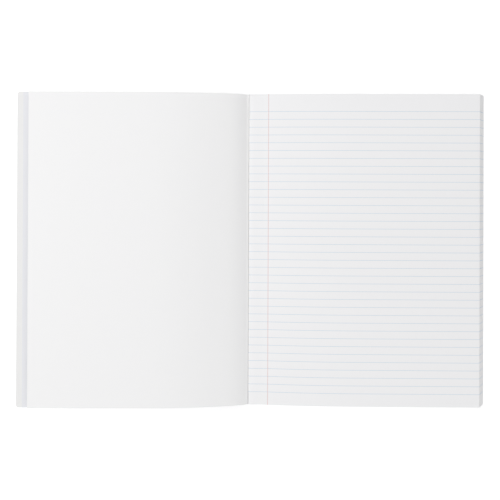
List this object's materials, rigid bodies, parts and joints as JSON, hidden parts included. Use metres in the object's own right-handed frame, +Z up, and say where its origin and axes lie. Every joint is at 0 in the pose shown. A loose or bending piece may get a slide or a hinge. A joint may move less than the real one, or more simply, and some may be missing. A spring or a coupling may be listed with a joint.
{
  "type": "composition notebook",
  "caption": "Open notebook with sewn ruled leaves, hinged covers, linings and a cloth spine tape, lying open at its first ruled page",
  "frame": {"origin": "on the resting surface, in the middle of the open book's width and halfway from head to tail", "axes": "+X from the front cover to the page block, +Y towards the heads of the pages, +Z up"},
  "size_m": [0.418, 0.2794, 0.0202],
  "materials": {
    "ruled_paper": "matte uncoated paper with pale blue rules and a rose margin line",
    "plain_paper": "matte uncoated paper",
    "lining_paper": "matte bluish lining paper",
    "cover_board": "plain pressed board, off-white, matte",
    "tape_cloth": "plain weave book cloth, black",
    "thread": "waxed cotton thread, white"
  },
  "bodies": {
    "pages": {"page_block": "ruled_paper", "sewing_thread": "thread", "spine_tape": "tape_cloth"},
    "front": {"front_cover": "cover_board", "front_endpaper": "lining_paper", "first_leaf": "plain_paper"},
    "back": {"back_cover": "cover_board", "back_endpaper": "lining_paper"}
  },
  "joints": [
    {"name": "front_cover_hinge", "type": "hinge", "parent": "pages", "child": "front", "pos_m": [-0.00373, 0, 0.006], "axis": [0, 1, 0], "range_deg": [0, 174.5], "deforming": ["first_leaf", "spine_tape"]},
    {"name": "back_cover_hinge", "type": "hinge", "parent": "pages", "child": "back", "pos_m": [-0.00033, 0, 0], "axis": [0, 1, 0], "range_deg": [0, 175], "deforming": ["spine_tape"]}
  ]
}
